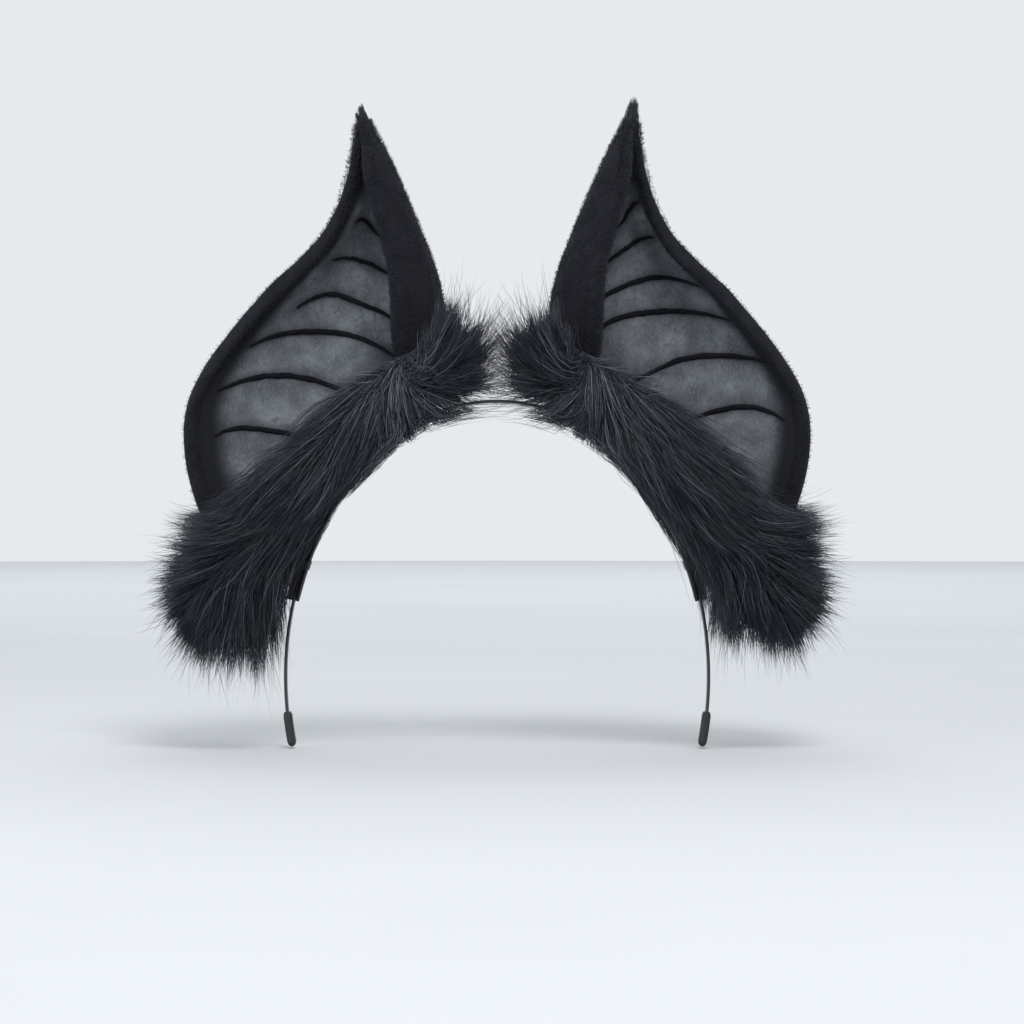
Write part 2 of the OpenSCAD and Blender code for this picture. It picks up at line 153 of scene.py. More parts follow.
def tube(rings):
    """A closed tube from rings of points (stations, points round, 3)."""
    m, n, _ = rings.shape
    co = rings.reshape(-1, 3)
    i, j = np.meshgrid(np.arange(m - 1), np.arange(n), indexing="ij")
    a = (i * n + j).ravel()
    b = (i * n + (j + 1) % n).ravel()
    faces = [np.stack([a, b, b + n, a + n], 1)]
    faces.append(np.arange(n)[::-1][None])
    faces.append((m - 1) * n + np.arange(n)[None])
    return co, faces


def smooth(a, b, x):
    t = np.clip((np.asarray(x, float) - a) / (b - a), 0, 1)
    return t * t * (3 - 2 * t)


def unit(v):
    return v / np.maximum(np.linalg.norm(v, axis=-1, keepdims=True), 1e-9)


def wobble(x, seed, waves=5):
    """Smooth one-dimensional noise, about -1 to 1."""
    r = np.random.default_rng(seed)
    out = np.zeros_like(np.asarray(x, float))
    for k in range(waves):
        out += (
            r.uniform(0.4, 1)
            * np.sin(np.asarray(x) * r.uniform(0.5, 2.2) * (k + 1) + r.uniform(0, 6.28)) / (k + 1)
        )
    return out


# ---------------------------------------------------------------- materials
def material(name):
    m = bpy.data.materials.new(name)
    m.use_nodes = True
    nt = m.node_tree
    return m, nt, nt.nodes["Principled BSDF"]


def noise(nt, scale, detail=4.0, rough=0.55, stretch=None):
    tc = nt.nodes.new("ShaderNodeTexCoord")
    n = nt.nodes.new("ShaderNodeTexNoise")
    n.inputs["Scale"].default_value = scale
    n.inputs["Detail"].default_value = detail
    n.inputs["Roughness"].default_value = rough
    source = tc.outputs["Object"]
    if stretch:
        mp = nt.nodes.new("ShaderNodeMapping")
        mp.inputs["Scale"].default_value = stretch
        nt.links.new(source, mp.inputs["Vector"])
        source = mp.outputs["Vector"]
    nt.links.new(source, n.inputs["Vector"])
    return n.outputs["Fac"]


def ramp(nt, fac, stops):
    r = nt.nodes.new("ShaderNodeValToRGB")
    r.color_ramp.elements[0].position = stops[0][0]
    r.color_ramp.elements[0].color = (*stops[0][1], 1)
    r.color_ramp.elements[1].position = stops[-1][0]
    r.color_ramp.elements[1].color = (*stops[-1][1], 1)
    for p, c in stops[1:-1]:
        e = r.color_ramp.elements.new(p)
        e.color = (*c, 1)
    nt.links.new(fac, r.inputs["Fac"])
    return r.outputs["Color"]


def mapped(nt, fac, lo, hi, a=0.0, b=1.0):
    m = nt.nodes.new("ShaderNodeMapRange")
    m.inputs["From Min"].default_value = a
    m.inputs["From Max"].default_value = b
    m.inputs["To Min"].default_value = lo
    m.inputs["To Max"].default_value = hi
    nt.links.new(fac, m.inputs["Value"])
    return m.outputs["Result"]


def bump(nt, height, distance, strength=1.0, under=None):
    b = nt.nodes.new("ShaderNodeBump")
    b.inputs["Distance"].default_value = distance
    b.inputs["Strength"].default_value = strength
    nt.links.new(height, b.inputs["Height"])
    if under is not None:
        nt.links.new(under, b.inputs["Normal"])
    return b.outputs["Normal"]


def mixed(nt, fac, a, b):
    m = nt.nodes.new("ShaderNodeMix")
    m.data_type = "RGBA"
    nt.links.new(fac, m.inputs["Factor"])
    for socket, v in ((m.inputs[6], a), (m.inputs[7], b)):
        if isinstance(v, tuple):
            socket.default_value = (*v, 1)
        else:
            nt.links.new(v, socket)
    return m.outputs[2]


def cloth(name, dark, light, patch, fibre, rough=0.9, sheen=0.25, tint=(0.75, 0.82, 1.0), depth=0.0003):
    m, nt, p = material(name)
    big, fine = noise(nt, patch, 5), noise(nt, fibre, 6, 0.7)
    colour = ramp(nt, big, [(0.3, dark), (0.7, light)])
    nt.links.new(
        mixed(nt, mapped(nt, fine, 0.0, 0.5, 0.4, 0.8), colour, tuple(c * 1.7 for c in light)),
        p.inputs["Base Color"]
    )
    nt.links.new(mapped(nt, fine, rough - 0.08, min(rough + 0.07, 1)), p.inputs["Roughness"])
    nt.links.new(bump(nt, fine, depth, 0.9, bump(nt, big, depth * 2, 0.4)), p.inputs["Normal"])
    p.inputs["Sheen Weight"].default_value = sheen
    p.inputs["Sheen Roughness"].default_value = 0.45
    p.inputs["Sheen Tint"].default_value = (*tint, 1)
    p.inputs["Specular IOR Level"].default_value = 0.1
    return m


PLUSH = cloth("plush", (0.0055, 0.0055, 0.0078), (0.0115, 0.0116, 0.0158), 140, 1500, 0.92, 0.035)
HEM = cloth("hem_plush", (0.0058, 0.0058, 0.0082), (0.012, 0.0122, 0.0166), 160, 1800, 0.92, 0.04)
RIB = cloth("rib_cord", (0.003, 0.003, 0.0045), (0.0068, 0.0068, 0.0095), 240, 2200, 0.9, 0.02)
PAD = cloth("base_felt", (0.007, 0.007, 0.008), (0.013, 0.013, 0.015), 160, 1600, 0.92, 0.15)
UNDERCOAT = cloth(
    "fur_undercoat", (0.003, 0.003, 0.0045), (0.007, 0.0072, 0.01), 140, 900, 0.9, 0.05, depth=0.001
)


def lining_material():
    m, nt, p = material("lining_felt")
    blot, mid, fine = noise(nt, 95, 5, 0.6), noise(nt, 380, 4, 0.6), noise(nt, 1700, 4, 0.7, (1, 1, 0.35))
    grey = ramp(
        nt, blot, [(0.36, (0.078, 0.085, 0.098)), (0.5, (0.117, 0.128, 0.147)), (0.63, (0.168, 0.182, 0.205))]
    )
    grey = mixed(nt, mapped(nt, mid, 0.0, 0.62, 0.47, 0.64), grey, (0.056, 0.061, 0.072))
    grey = mixed(nt, mapped(nt, fine, 0.0, 0.42, 0.52, 0.7), grey, (0.27, 0.285, 0.312))
    # per-point darkening from ear(): airbrushed dye plus painted shade
    dye_and_shade = nt.nodes.new("ShaderNodeAttribute")
    dye_and_shade.attribute_name = "dye_and_shade"
    wavy = nt.nodes.new("ShaderNodeMath")
    wavy.operation = "MULTIPLY_ADD"
    nt.links.new(mapped(nt, mid, -0.22, 0.22), wavy.inputs[0])
    edge = nt.nodes.new("ShaderNodeMath")
    edge.operation = "PINGPONG"
    edge.inputs[1].default_value = 0.5
    nt.links.new(dye_and_shade.outputs["Fac"], edge.inputs[0])
    nt.links.new(edge.outputs[0], wavy.inputs[1])
    nt.links.new(dye_and_shade.outputs["Fac"], wavy.inputs[2])
    # grey felt mixed towards near black by that darkening, its edge wavered by noise: dye and painted shade
    nt.links.new(mixed(nt, wavy.outputs[0], grey, (0.0085, 0.0088, 0.012)), p.inputs["Base Color"])
    nt.links.new(mapped(nt, fine, 0.82, 1.0), p.inputs["Roughness"])
    nt.links.new(bump(nt, fine, 0.0002, 0.8, bump(nt, mid, 0.0004, 0.5)), p.inputs["Normal"])
    p.inputs["Sheen Weight"].default_value = 0.05
    p.inputs["Sheen Roughness"].default_value = 0.5
    p.inputs["Specular IOR Level"].default_value = 0.12
    return m


LINING = lining_material()


def hard(name, base, rough, coat=0.0, wear=0.02):
    m, nt, p = material(name)
    n = noise(nt, 420, 5)
    scuff = noise(nt, 1300, 3, 0.6, (1, 0.15, 1))
    nt.links.new(
        mixed(nt, mapped(nt, scuff, 0.0, 1.0, 0.62, 0.8), base, tuple(c + wear for c in base)),
        p.inputs["Base Color"]
    )
    nt.links.new(mapped(nt, n, rough - 0.08, rough + 0.12), p.inputs["Roughness"])
    nt.links.new(bump(nt, n, 0.00005, 0.35), p.inputs["Normal"])
    p.inputs["Coat Weight"].default_value = coat
    p.inputs["Coat Roughness"].default_value = 0.2
    return m


LACQUER = hard("black_lacquer", (0.007, 0.007, 0.008), 0.3, 0.4)
RUBBER = hard("cap_rubber", (0.011, 0.011, 0.012), 0.62, 0.0, 0.012)


def thread_material():
    m, nt, p = material("waxed_thread")
    tc = nt.nodes.new("ShaderNodeTexCoord")
    w = nt.nodes.new("ShaderNodeTexWave")
    w.bands_direction = "DIAGONAL"
    w.inputs["Scale"].default_value = 900
    w.inputs["Distortion"].default_value = 1.5
    nt.links.new(tc.outputs["Object"], w.inputs["Vector"])
    nt.links.new(
        ramp(nt, w.outputs["Fac"], [(0.1, (0.004, 0.004, 0.005)), (0.9, (0.016, 0.016, 0.019))]),
        p.inputs["Base Color"]
    )
    nt.links.new(bump(nt, w.outputs["Fac"], 0.00015, 0.8), p.inputs["Normal"])
    p.inputs["Roughness"].default_value = 0.5
    return m


THREAD = thread_material()


def hair(name, base, rough, tint_a, tint_b):
    """One shade of fur fibre. Its gloss runs from one tint to another in soft patches."""
    m, nt, p = material(name)
    p.inputs["Base Color"].default_value = (*base, 1)
    p.inputs["Roughness"].default_value = rough
    p.inputs["Specular IOR Level"].default_value = 0.5
    nt.links.new(ramp(nt, noise(nt, 60, 4), [(0.35, tint_a), (0.65, tint_b)]), p.inputs["Specular Tint"])
    return m


FUR = [
    hair("fur_black", (0.0052, 0.0054, 0.0082), 0.4, (0.66, 0.74, 1.0), (0.9, 0.94, 1.0)),
    hair("fur_blue_black", (0.0105, 0.0115, 0.0175), 0.38, (0.62, 0.72, 1.0), (0.88, 0.93, 1.0)),
    hair("fur_charcoal", (0.0195, 0.0215, 0.031), 0.4, (0.6, 0.72, 1.0), (0.9, 0.95, 1.0)),
    hair("fur_grey_guard", (0.095, 0.104, 0.13), 0.38, (0.75, 0.85, 1.0), (1.0, 1.0, 1.0)),
]
FUZZ = [
    hair("fuzz_black", (0.0075, 0.0075, 0.0105), 0.6, (0.7, 0.78, 1.0), (1.0, 1.0, 1.0)),
    hair("fuzz_charcoal", (0.016, 0.0165, 0.0215), 0.6, (0.7, 0.78, 1.0), (1.0, 1.0, 1.0)),
]

# ---------------------------------------------------------------- the ear's mid surface, as in the CAD
ROWS = [
    [(30.1, 0.6), (36, -3), (89, -77.7), 8, 0, 12, 7, 11.5],
    [(25.6, 11), (39, 9.5), (112, -60), 11, 1, 15.5, 8, 8],
    [(24.6, 25), (42.4, 24.5), (124, -36), 13, 2, 18.5, 8, 5],
    [(25.2, 40), (43, 39.5), (127.5, -9), 14, 3, 20, 6, 3],
    [(28.3, 54), (44.2, 54), (120, 12), 13, 3, 20, 4, 2],
    [(33.5, 68.5), (47.4, 67.5), (98, 40), 11, 3.5, 18, 2, 1],
    [(39.6, 84), (51.2, 80.5), (73.5, 64), 8.5, 4, 14.5, 0.5, 0.5],
    [(46.2, 99), (54.8, 94), (62.2, 88), 5, 4, 10, -1, 0],
    [(55, 118), (55.9, 118), (56.9, 118), -3.6, 4, 4.4, -3.6, 0],
]


def control():
    G = []
    for A, E, B, fe, ya, D, fb, bow in ROWS:
        A, E, B = (np.array(p, float) for p in (A, E, B))
        w = unit(B - A)
        m = np.array([-w[1], w[0]])
        at = lambda f: A + f * (B - A) + m * bow * 4 * f * (1 - f)
        K, p3, p4, p5 = A + 0.22 * (E - A), at(0.14), at(0.42), at(0.73)
        G.append([(E[0], -fe, E[1]), (K[0], -0.62 * fe + 0.1 * ya, K[1]), (A[0], ya, A[1]),
                  (p3[0], ya + (D - ya) * 0.72, p3[1]), (p4[0], D, p4[1]),
                  (p5[0], -fb + (D + fb) * 0.6, p5[1]), (B[0], -fb, B[1])])
    return np.array(G)


G = control()
L0 = np.linalg.norm(G[:, 1] - G[:, 0], axis=1)
L1 = np.linalg.norm(G[:, 6] - G[:, 5], axis=1)


def cubic(a, b, c, d, u):
    return 0.5 * (
        2 * b + (c - a) * u + (2 * a - 5 * b + 4 * c - d) * u * u + (3 * b - a - 3 * c + d) * u ** 3
    )


def spl(P, s):
    """Points P (n, k), or one list of points for each s (N, n, k), at the places s."""
    s = np.asarray(s, float).ravel()
    n = P.shape[-2] - 1
    i = np.clip(np.floor(s).astype(int), 0, n - 1)
    get = (lambda k: P[k]) if P.ndim == 2 else (lambda k: P[np.arange(len(s)), k])
    b, c = get(i), get(i + 1)
    a = np.where((i > 0)[:, None], get(np.maximum(i - 1, 0)), 2 * b - c)
    d = np.where((i + 2 <= n)[:, None], get(np.minimum(i + 2, n)), 2 * c - b)
    return cubic(a, b, c, d, (s - i)[:, None])


def surf(s, t):
    s, t = np.broadcast_arrays(np.asarray(s, float), np.asarray(t, float))
    shape = s.shape
    s, t = s.ravel(), t.ravel()
    n = len(G) - 1
    i = np.clip(np.floor(t).astype(int), 0, n - 1)
    b, c = spl(G[i], s), spl(G[i + 1], s)
    a = np.where((i > 0)[:, None], spl(G[np.maximum(i - 1, 0)], s), 2 * b - c)
    d = np.where((i + 2 <= n)[:, None], spl(G[np.minimum(i + 2, n)], s), 2 * c - b)
    return cubic(a, b, c, d, (t - i)[:, None]).reshape(*shape, 3)


def facing(s, t):
    e = 0.01
    return unit(np.cross(surf(s + e, t) - surf(s - e, t), surf(s, t + e) - surf(s, t - e)))


def off(s, t, h):
    return surf(s, t) + facing(s, t) * np.asarray(h, float)[..., None]


def lin(T, t):
    return np.interp(t, np.arange(len(T)), T)


def rim0(t, w):
    return np.minimum(w / lin(L0, t), 1.0)


def rim1(t, w):
    return np.minimum(w / lin(L1, t), 1.2)


RIBS = {
    "left": [[(3.35, 5.55), (4.45, 6.43), (5.15, 6.68)], [(2.95, 4.4), (3.95, 5.5), (5.25, 6.05)],
             [(2.85, 3.2), (3.85, 4.65), (5.45, 5.2)], [(2.85, 2.2), (3.83, 3.9), (5.5, 4.65)],
             [(3.6, 1.95), (4.58, 3.4), (5.66, 4.05)], [(4.25, 1.6), (4.95, 2.6), (5.66, 2.85)]],
    "right": [[(2.85, 4.95), (4.02, 5.98), (4.7, 6.2)], [(2.85, 4.0), (3.73, 5.0), (4.8, 5.5)],
              [(2.85, 2.6), (3.9, 4.3), (4.85, 4.6)], [(3.05, 2.05), (4.2, 3.7), (5.4, 4.2)],
              [(3.6, 1.5), (4.55, 2.9), (5.6, 3.4)], [(4.2, 1.1), (4.95, 2.2), (5.6, 2.55)]],
}
RIB_SIZE = [0.62, 0.75, 0.9, 1.0, 1.0, 0.95]


def rib_line(P, u):
    P = np.array(P, float)
    u = np.asarray(u, float)[:, None]
    q = P[0] * (2 * u - 1) * (u - 1) + P[1] * 4 * u * (1 - u) + P[2] * u * (2 * u - 1)
    return q[:, 0], q[:, 1]


FRONT_SKIN, BACK_SKIN = 2.05, -2.85
A_HALF, RISE, TAIL = 86.0, 112.0, 13.5


# ---------------------------------------------------------------- ears
def ear(side):
    body = side + "_ear"
    seed = 1 if side == "left" else 2

    # lining: grey felt darkened by a per-point attribute that holds airbrushed dye at the border and tip and
    # painted shade by the inner fold, along the fur cuff and round the ribs
    t = np.linspace(0, 7.35, 120)[:, None]
    f = np.linspace(0, 1, 110)[None, :]
    a, b = rim0(t, 5.2), 6 - rim1(t, 5.2)
    s = a + (b - a) * f
    tt = np.broadcast_to(t, s.shape)
    front = off(s, tt, np.full(s.shape, FRONT_SKIN))
    back = off(s, tt, np.full(s.shape, FRONT_SKIN - 1.0))
    step = np.linalg.norm(np.diff(front, axis=1), axis=2)
    run = np.concatenate([np.zeros((len(t), 1)), np.cumsum(step, 1)], 1)
    outer = run[:, -1:] - run + 5.2
    # darker towards the outer border and the tip: the lining's airbrushed dye
    near, far = (10.5, 22) if side == "left" else (12.5, 25)
    taper = 1 - (0.62 if side == "left" else 0.45) * smooth(4.0, 6.2, tt)
    keep = 1 - 0.985 * (1 - smooth(0, 1, (outer / taper - near) / (far - near)))
    keep = keep * (1 - 0.95 * smooth(6.45, 7.15, tt))
    # darker by the inner fold: airbrushed dye plus painted shade from the flap, strongest on the right ear
    if side == "right":
        keep = keep * (1 - 0.9 * (1 - smooth(2.45, 3.15, s + 0.04 * (tt - 3))))
    else:
        keep = keep * (1 - 0.35 * (1 - smooth(2.1, 2.7, s)))
    # painted shade: darker along the fur cuff, where the fur overhangs the lining
    x, z = front[..., 0], front[..., 2]
    cuff = (x - 42) * 0.728 + (z - 22) * 0.686
    keep = keep * (1 - 0.6 * (1 - smooth(0, 11, cuff)))
    # painted shade: soft dark halos round each raised rib
    u = np.linspace(0, 1, 60)
    for k, P in enumerate(RIBS[side]):
        line = off(*rib_line(P, u), np.full(60, FRONT_SKIN))
        away = np.full(s.shape, 1e9)
        for q in line:
            away = np.minimum(away, np.linalg.norm(front - q, axis=2))
        keep = keep * (1 - 0.6 * np.exp(-((away / 2.1) ** 2))) * (1 - 0.2 * np.exp(-((away / 5.5) ** 2)))
    # share of near-black in the lining colour: airbrushed dye plus painted shade
    dye_and_shade = np.clip(1 - keep, 0, 1)
    co, faces = shell(front, back)
    co, faces = mirrored(co, faces, side)
    ob = make(
        f"{side}_lining", co, faces, [LINING], floats={"dye_and_shade": np.concatenate([dye_and_shade.ravel(), dye_and_shade.ravel()])}
    )
    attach(ob, body)
    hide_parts(f"{side}_ear_lining", f"{side}_ear_core", f"{side}_ear_wire")

    # plush outer
    t = np.linspace(0, 7.35, 110)[:, None]
    f = np.linspace(0, 1, 100)[None, :]
    a, b = rim0(t, 5.0), 6 - rim1(t, 5.0)
    s = a + (b - a) * f
    tt = np.broadcast_to(t, s.shape)
    lump = 0.22 * np.sin(s * 7.1 + tt * 2.3 + seed) * np.sin(tt * 3.7 - s * 1.9 + 2 * seed)
    back = off(s, tt, BACK_SKIN + lump)
    co, faces = shell(off(s, tt, np.full(s.shape, -1.05)), back)
    co, faces = mirrored(co, faces, side)
    ob = make(f"{side}_cover", co, faces, [PLUSH])
    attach(ob, body)
    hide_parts(f"{side}_ear_cover")

    # hem: a turned roll up each rim, and a cap over the tip
    prof = np.array([
        (6.3, 1.9), (5.9, 2.6), (4.9, 2.95), (3.4, 3.1), (2.0, 2.95), (0.9, 2.4), (0.2, 1.4), (-0.1, 0.1),
        (0.15, -1.3), (0.8, -2.5), (2.0, -3.25), (3.5, -3.45), (5.0, -3.4), (5.9, -3.1), (6.3, -2.5)])
    parts_co, parts_f, n0 = [], [], 0
    t = np.linspace(0, 7.7, 130)
    for which in (0, 1):
        wob = 1 + 0.05 * wobble(t * 4, 10 * seed + which)
        d = prof[None, :, 0] * wob[:, None]
        h = prof[None, :, 1] * (1 + 0.035 * wobble(t * 6, 20 * seed + which))[:, None]
        h = h * (1 - 0.55 * smooth(5.6, 7.6, t))[:, None]
        lim = (rim0(t, 6.3) / 6.3)[:, None] if which == 0 else (rim1(t, 6.3) / 6.3)[:, None]
        s = d * lim if which == 0 else 6 - d * lim
        rings = off(s, np.broadcast_to(t[:, None], s.shape), h)
        co, faces = tube(rings if which == 0 else rings[:, ::-1])
        parts_co.append(co)
        parts_f += [f + n0 for f in faces]
        n0 += len(co)
    t = np.concatenate([np.linspace(7.1, 7.9, 14), [7.96, 8.0]])[:, None]
    s = np.linspace(0.03, 5.97, 26)[None, :] * np.ones_like(t)
    tt = np.broadcast_to(t, s.shape)
    edge = np.sqrt(np.clip(1 - (np.abs(s / 3 - 1)) ** 6, 0, 1))
    thick = (
        1.75 * (1 - 0.5 * smooth(7.0, 7.9, tt)) * np.sqrt(np.clip(1 - smooth(7.8, 8.02, tt) ** 2, 0.02, 1))
    )
    co, faces = shell(off(s, tt, thick * edge), off(s, tt, -thick * edge))
    parts_co.append(co)
    parts_f += [f + n0 for f in faces]
    co, faces = mirrored(np.concatenate(parts_co), parts_f, side)
    ob = make(f"{side}_hem", co, faces, [HEM])
    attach(ob, body)
    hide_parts(f"{side}_ear_hem")

    # ribs
    for k, P in enumerate(RIBS[side]):
        u = np.linspace(0, 1, 70)
        s, t = rib_line(P, u)
        n = facing(s, t)
        mid = surf(s, t)
        d = unit(np.gradient(mid, axis=0))
        x = unit(np.cross(n, d))
        prof_u = np.sin(np.pi * (0.03 + 0.94 * u))
        w = 1.2 * RIB_SIZE[k] * (0.22 + 0.78 * prof_u ** 0.65) * (1 + 0.09 * wobble(u * 22, 31 * seed + k))
        h = 0.95 * (0.3 + 0.7 * prof_u ** 0.6)
        line = 0.12 * wobble(u * 18, 57 * seed + k)
        ang = np.linspace(0, np.pi, 9)
        ring = []
        for q in ang:
            ring.append(
                mid + x * (w * np.cos(q) + line)[:, None]
                + n * (FRONT_SKIN - 0.05 + h * np.sin(q) ** 0.8)[:, None]
            )
        ring.append(mid + x * (-0.5 * w + line)[:, None] + n * (FRONT_SKIN - 0.35))
        ring.append(mid + x * (0.5 * w + line)[:, None] + n * (FRONT_SKIN - 0.35))
        co, faces = tube(np.stack(ring, 1)[:, ::-1])
        co, faces = mirrored(co, faces, side)
        ob = make(f"{side}_rib_cord_{k + 1}", co, faces, [RIB])
        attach(ob, body)
        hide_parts(f"{side}_rib_{k + 1}")


# ---------------------------------------------------------------- fibres
def fibres(name, pts, radius, mats, index, side, tip=0.15):
    """Tapered three-sided fibres. pts is (N, K, 3) in millimetres, radius (N,)."""
    N, K, _ = pts.shape
    rng = np.random.default_rng(len(name) * 7 + N)
    d = unit(np.gradient(pts, axis=1))
    ref = unit(rng.normal(size=(N, 1, 3)))
    u = unit(np.cross(d, ref))
    v = np.cross(d, u)
    k = np.linspace(0, 1, K)
    taper = np.where(k < 0.25, 0.75 + k, 1.0) * (1 - k ** 2.2 * (1 - tip))
    r = radius[:, None] * taper[None, :]
    rings = []
    for j in range(3):
        a = 2 * np.pi * j / 3
        rings.append(pts + (u * np.cos(a) + v * np.sin(a)) * r[..., None])
    ring = np.stack(rings, 2)[:, : K - 1]
    per = 3 * (K - 1) + 1
    co = np.concatenate([ring.reshape(N, -1, 3), pts[:, -1:]], 1).reshape(-1, 3)
    base = (np.arange(N) * per)[:, None]
    q = []
    for m in range(K - 2):
        for j in range(3):
            i, i2 = m * 3 + j, m * 3 + (j + 1) % 3
            q.append([i, i2, i2 + 3, i + 3])
    q = (base[:, :, None] + np.array(q)[None]).reshape(-1, 4)
    last = 3 * (K - 2)
    tri = [[last + j, last + (j + 1) % 3, per - 1] for j in range(3)] + [[2, 1, 0]]
    tri = (base[:, :, None] + np.array(tri)[None]).reshape(-1, 3)
    idx = np.concatenate([np.repeat(index, 3 * (K - 2)), np.repeat(index, 4)])
    co, faces = mirrored(co, [q, tri], side)
    ob = make(name, co, faces, mats, idx)
    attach(ob, side + "_ear")
    return ob


FRONT = np.array([
    [11, 13, 3, -17, 3], [14, 14, 9, -18, 9], [22, 14, 12.5, -27, 8.5], [36, 7, 15, -28.5, 9.5],
    [50, -3.5, 16, -27.5, 10.5], [65, -17, 16, -25, 13], [80, -33, 16.5, -25, 13], [94, -51, 18, -25.5, 12],
    [107, -67, 19.5, -23, 11.5], [118, -79, 14, -20, 8.5], [124, -86, 4, -18, 3]], float)
BACK = np.array([
    [11, 13, 3, 12, 3], [13.5, 14, 9, 14, 8], [20, 14, 12, 21, 8.5], [36, 9, 15, 31, 8.5],
    [50, -2, 16, 33, 9], [65, -16, 16, 33, 9], [80, -32, 16.5, 30.5, 10.5], [95, -50, 18, 25.5, 12],
    [109, -65, 19.5, 18.5, 11], [121, -76, 15, 13, 9], [129, -83, 4, 10, 3]], float)


def cuff_point(P, u, ang, k):
    """A point on the cuff's inner roll, k of its full girth, and the outward direction there."""
    s = u * (len(P) - 1)
    p = spl(P, s)
    a, b = spl(P, np.maximum(s - 0.05, 0)), spl(P, np.minimum(s + 0.05, len(P) - 1))
    d = unit(np.stack([b[:, 0] - a[:, 0], 0 * u, b[:, 1] - a[:, 1]], 1))
    x = np.stack([-d[:, 2], 0 * u, d[:, 0]], 1)
    c = np.stack([p[:, 0], p[:, 3], p[:, 1]], 1)
    y = np.array([0, -1.0, 0])
    ca, sa = np.cos(ang)[:, None], np.sin(ang)[:, None]
    pos = c + x * ca * (p[:, 2:3] * k) + y * sa * (p[:, 4:5] * k)
    nor = unit(x * ca * p[:, 4:5] + y * sa * p[:, 2:3])
    return pos, nor


def flow(x, z):
    """Which way the pile lies, seen from the front, as an angle in degrees."""
    left = np.degrees(np.arctan2(z - 3, x - 35)) % 360
    mid = np.interp(x, [28, 34, 40, 48, 58, 72, 90], [228, 250, 270, 287, 299, 308, 311])
    w = smooth(24, 38, x)
    a = (1 - w) * left + w * mid
    out = np.degrees(np.arctan2(z + 57, np.maximum(x - 97, 4)))
    out = 360 + np.where(out > 0, 0.42 * out, out)
    q = (x - 86) * 0.62 - (z + 50) * 0.78
    wr = smooth(0, 26, q)
    return (1 - wr) * a + wr * out


OUTLINE = {
    ("left", False): [
        (12, 24), (12.3, 15), (14, 5), (17, -5), (30, -13), (50, -25), (66, -42), (76, -58),
        (83, -82), (89, -96), (97, -93), (106, -95), (114, -98), (121, -90), (126, -79),
        (128, -69), (128, -58), (125, -48), (120, -41), (112, -43), (104, -35), (94, -21),
        (76, -4), (57, 10.5), (46, 21), (36, 27), (24, 36), (15, 31)],
    ("right", False): [
        (12.5, 26), (12.5, 16), (15, 4), (21, -6), (32, -12), (44, -19), (58, -34), (71, -42),
        (79, -54), (85, -70), (88, -96), (92, -112), (100, -107), (109, -108), (117, -101),
        (123, -92), (126, -83), (129, -73), (127, -63), (122, -55), (115, -50), (108, -45),
        (96, -33), (84, -24), (68, -4), (56, 9), (46, 21), (35, 28), (24, 37), (15, 32)],
}
for _s in ("left", "right"):
    OUTLINE[_s, True] = [
        (x + (3 if x > 110 else 0), z + (16 if z > -38 and x > 20 else 7 if z > -60 and x > 105 else 0))
        for x, z in OUTLINE[_s, False]]


def outside(poly, x, z):
    """How far a point lies outside a closed outline, in mm, below zero inside."""
    P = np.array(poly, float)
    Q = np.roll(P, -1, 0)
    e = Q - P
    d = np.stack([x, z], -1)[..., None, :] - P
    k = np.clip((d * e).sum(-1) / (e * e).sum(-1), 0, 1)
    dist = np.linalg.norm(d - k[..., None] * e, axis=-1).min(-1)
    zz = z[..., None]
    cross = ((P[:, 1] > zz) != (Q[:, 1] > zz)) & (
        x[..., None] < e[:, 0] * (zz - P[:, 1]) / np.where(e[:, 1] == 0, 1e-9, e[:, 1]) + P[:, 0])
    return np.where(cross.sum(-1) % 2 == 1, -dist, dist)


def off_head(p, slack):
    """Points held outside the head's oval, less a little slack each."""
    r = np.sqrt((p[:, 0] / A_HALF) ** 2 + ((p[:, 2] + RISE) / RISE) ** 2)
    grow_by = np.maximum((1 - slack) / np.maximum(r, 1e-6), 1.0)
    grow_by = np.where(p[:, 2] > -RISE, grow_by, 1.0)
    q = p.copy()
    q[:, 0] *= grow_by
    q[:, 2] = (p[:, 2] + RISE) * grow_by - RISE
    return q


def shortened(pts, keep):
    """Each fibre cut to a share of its length, with the same number of points."""
    N, K, _ = pts.shape
    pos = np.linspace(0, 1, K)[None, :] * keep[:, None] * (K - 1)
    i = np.minimum(pos.astype(int), K - 2)
    w = (pos - i)[..., None]
    rows = np.arange(N)[:, None]
    return pts[rows, i] * (1 - w) + pts[rows, i + 1] * w


def within(pts, limit, measure):
    """The share of each fibre up to which measure stays under limit."""
    fine = shortened_grid(pts, 16)
    bad = measure(fine) > limit[:, None]
    first = np.where(bad.any(1), bad.argmax(1) - 1, 15)
    return np.clip(first / 15.0, 0.1, 1.0)


def shortened_grid(pts, m):
    K = pts.shape[1]
    pos = np.linspace(0, K - 1, m)
    i = np.minimum(pos.astype(int), K - 2)
    w = (pos - i)[None, :, None]
    return pts[:, i] * (1 - w) + pts[:, i + 1] * w


